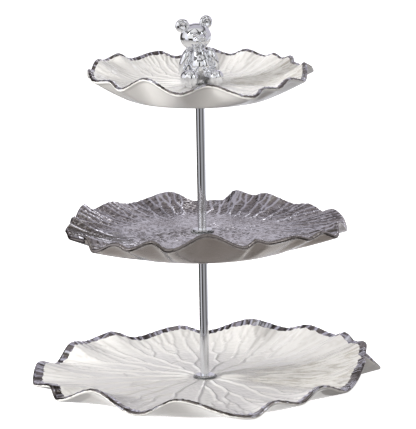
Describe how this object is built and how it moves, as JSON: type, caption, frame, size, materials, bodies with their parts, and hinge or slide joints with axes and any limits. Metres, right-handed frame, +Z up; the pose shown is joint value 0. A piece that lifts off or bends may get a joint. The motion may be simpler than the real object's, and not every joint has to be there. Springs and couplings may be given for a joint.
{
  "type": "tiered cake stand",
  "caption": "Tiered cake stand: ruffled leaf-shaped ceramic plates clamped on chrome posts between washers and clear gaskets, with a screw-on seated bear finial.",
  "frame": {"origin": "on the post axis, in the plane of the bottom plate's foot ring", "axes": "+Z up along the posts, -Y towards the front, +X to the viewer's right"},
  "size_m": [0.3112, 0.2831, 0.3367],
  "materials": {
    "white_glaze": "glossy white glaze with a silver lustre rim",
    "silver_lustre": "glossy silver lustre over a netted glaze",
    "chrome": "polished",
    "bear_chrome": "polished plating on a hollow casting",
    "clear_gasket": "clear soft plastic",
    "steel": "turned and zinc plated"
  },
  "bodies": {
    "base": {"bottom_plate": "white_glaze"},
    "stem": {"base_screw": "steel", "base_washer": "steel", "base_gasket": "clear_gasket", "bottom_top_gasket": "clear_gasket", "bottom_flange": "chrome", "lower_post": "chrome", "lower_post_insert_bottom": "steel", "lower_post_insert_top": "steel", "mid_under_washer": "chrome", "mid_under_gasket": "clear_gasket", "mid_top_gasket": "clear_gasket", "mid_flange": "chrome", "mid_stud": "steel", "upper_post": "chrome", "upper_post_insert_bottom": "steel", "upper_post_insert_top": "steel", "top_under_washer": "chrome", "top_under_gasket": "clear_gasket", "top_stud": "steel"},
    "middle": {"middle_plate": "silver_lustre"},
    "top": {"top_plate": "white_glaze"},
    "finial_pad": {"finial_gasket": "clear_gasket"},
    "finial": {"bear_finial": "bear_chrome", "finial_insert": "steel"}
  },
  "joints": [
    {"name": "stem_turn", "type": "hinge", "parent": "base", "child": "stem", "pos_m": [0, 0, 0.011], "axis": [0, 0, 1], "continuous": true},
    {"name": "middle_plate_turn", "type": "hinge", "parent": "stem", "child": "middle", "pos_m": [0, 0, 0.144], "axis": [0, 0, 1], "continuous": true},
    {"name": "top_plate_turn", "type": "hinge", "parent": "stem", "child": "top", "pos_m": [0, 0, 0.277], "axis": [0, 0, 1], "continuous": true},
    {"name": "finial_lift", "type": "slide", "parent": "stem", "child": "finial_pad", "axis": [0, 0, 1], "range_m": [0, 0.0064]},
    {"name": "finial_turn", "type": "hinge", "parent": "finial_pad", "child": "finial", "pos_m": [0, 0, 0.278], "axis": [0, 0, 1], "range_deg": [0, 2880]}
  ],
  "couplings": [
    {"joint": "finial_turn", "follows": "finial_lift", "rad_per_m": 7854}
  ]
}
